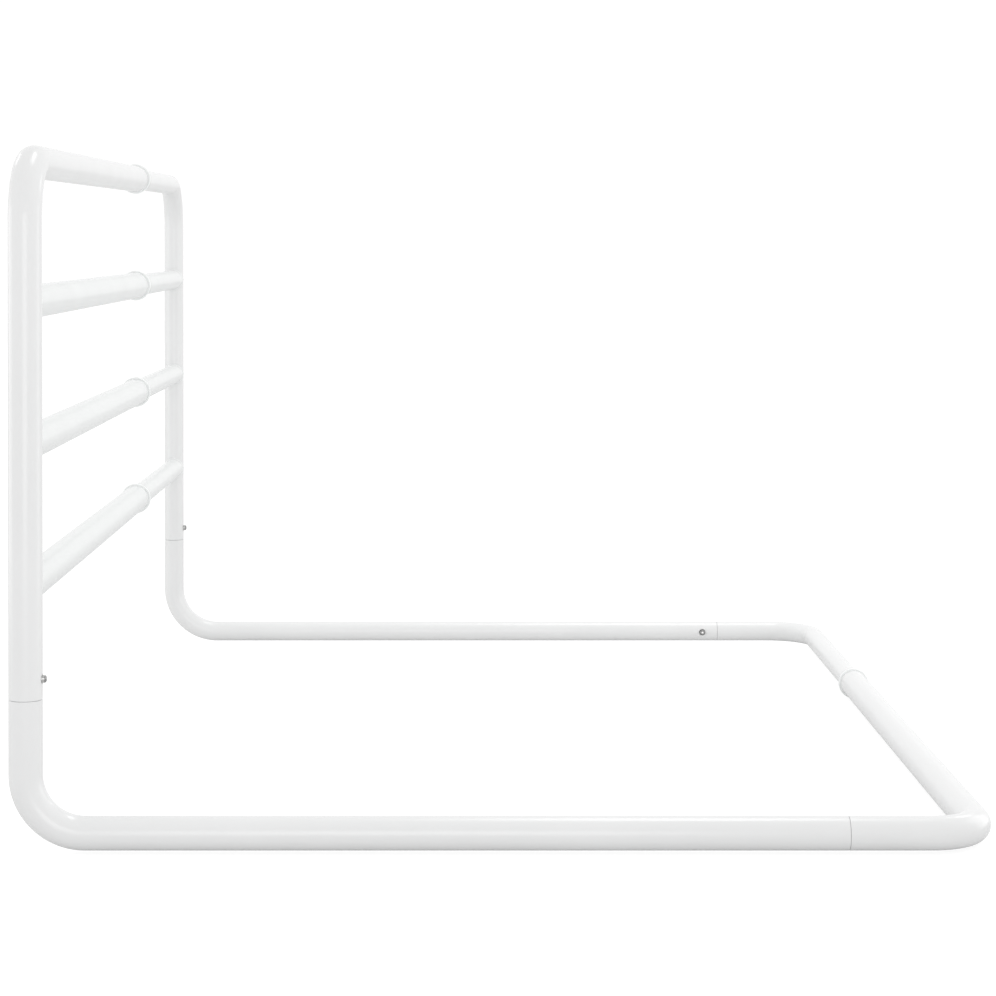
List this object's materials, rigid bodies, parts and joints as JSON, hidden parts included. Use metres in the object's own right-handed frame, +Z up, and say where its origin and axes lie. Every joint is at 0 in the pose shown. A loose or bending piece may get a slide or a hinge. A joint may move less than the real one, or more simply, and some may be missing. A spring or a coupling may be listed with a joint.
{
  "type": "bed guard rail",
  "caption": "White tubular steel bed guard rail: telescoping rails between bent posts, on a base frame that goes under the mattress, its tubes held by sprung snap buttons.",
  "frame": {"origin": "centre of the bounding box at its bottom, the surface that the base frame lies on", "axes": "+X from the guard to the rear bar under the mattress, +Y along the bed with the slim half at +Y, +Z up"},
  "size_m": [0.7758, 1.0562, 0.5543],
  "materials": {
    "coated_tube": "gloss white powder coat",
    "collar_plastic": "smooth white moulding",
    "glide_plastic": "natural nylon",
    "button_steel": "bright nickel plate",
    "spring_steel": "plain strip"
  },
  "bodies": {
    "near_half": {"near_guard_tube": "coated_tube", "near_base_tube": "coated_tube", "near_rear_tube": "coated_tube", "rail_sleeve_upper": "coated_tube", "rail_sleeve_middle": "coated_tube", "rail_sleeve_lower": "coated_tube", "collar_top": "collar_plastic", "collar_upper": "collar_plastic", "collar_middle": "collar_plastic", "collar_lower": "collar_plastic", "collar_rear": "collar_plastic", "near_post_spring": "spring_steel", "near_base_spring": "spring_steel"},
    "far_half": {"far_guard_tube": "coated_tube", "far_base_tube": "coated_tube", "far_rear_tube": "coated_tube", "rail_slider_upper": "coated_tube", "rail_slider_middle": "coated_tube", "rail_slider_lower": "coated_tube", "glide_top": "glide_plastic", "glide_upper": "glide_plastic", "glide_middle": "glide_plastic", "glide_lower": "glide_plastic", "glide_rear": "glide_plastic", "far_post_spring": "spring_steel", "far_base_spring": "spring_steel"},
    "near_post_button": {"near_post_button": "button_steel"},
    "near_base_button": {"near_base_button": "button_steel"},
    "far_post_button": {"far_post_button": "button_steel"},
    "far_base_button": {"far_base_button": "button_steel"}
  },
  "joints": [
    {"name": "extension", "type": "slide", "parent": "near_half", "child": "far_half", "axis": [0, 1, 0], "range_m": [-0.3, 0.25]},
    {"name": "near_post_press", "type": "slide", "parent": "near_half", "child": "near_post_button", "axis": [-1, 0, 0], "range_m": [0, 0.005], "stiffness_N_per_m": 2500, "springref_m": -0.003, "deforming": ["near_post_spring"]},
    {"name": "near_base_press", "type": "slide", "parent": "near_half", "child": "near_base_button", "axis": [0, -1, 0], "range_m": [0, 0.005], "stiffness_N_per_m": 2500, "springref_m": -0.003, "deforming": ["near_base_spring"]},
    {"name": "far_post_press", "type": "slide", "parent": "far_half", "child": "far_post_button", "axis": [-1, 0, 0], "range_m": [0, 0.005], "stiffness_N_per_m": 2500, "springref_m": -0.003, "deforming": ["far_post_spring"]},
    {"name": "far_base_press", "type": "slide", "parent": "far_half", "child": "far_base_button", "axis": [0, 1, 0], "range_m": [0, 0.005], "stiffness_N_per_m": 2500, "springref_m": -0.003, "deforming": ["far_base_spring"]}
  ]
}
